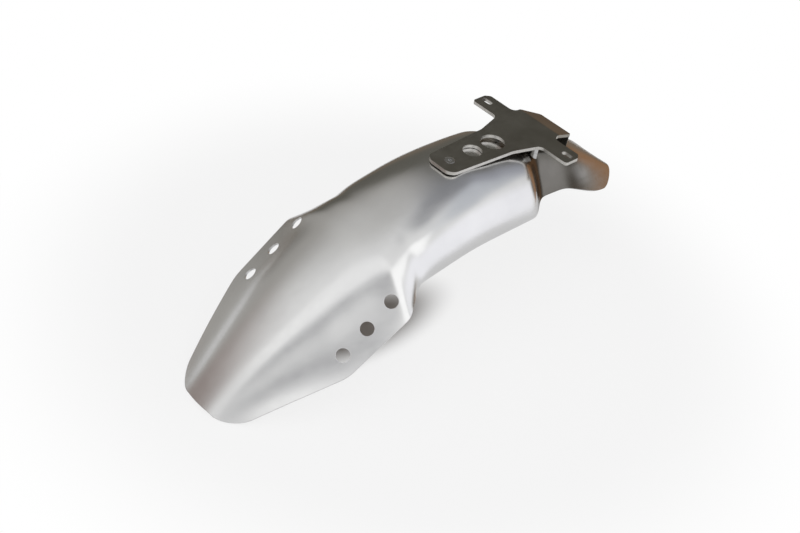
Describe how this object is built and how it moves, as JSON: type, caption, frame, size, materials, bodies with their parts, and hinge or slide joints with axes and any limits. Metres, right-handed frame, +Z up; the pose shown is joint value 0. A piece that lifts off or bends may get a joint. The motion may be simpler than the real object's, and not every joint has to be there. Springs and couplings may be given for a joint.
{
  "type": "motorcycle fender",
  "caption": "High-mounted front fender: formed aluminium shell with drilled wings and waisted tail, under a flat slotted bracket plate.",
  "frame": {"origin": "midway between the two ear slots, on the top face of the bracket plate", "axes": "+X forward to the beak, +Z up along the axis of the slots, Y across the fender"},
  "size_m": [0.6135, 0.2042, 0.1969],
  "materials": {
    "shell": "satin polished formed sheet",
    "plate": "dull grey flat stock with bright cut edges",
    "hardware": "plain bright"
  },
  "bodies": {
    "root": {"fender_shell": "shell", "bracket_plate": "plate", "front_screw": "hardware", "front_spacer": "hardware", "front_washer": "hardware", "front_nut": "hardware", "side_spacers": "hardware"}
  },
  "joints": []
}
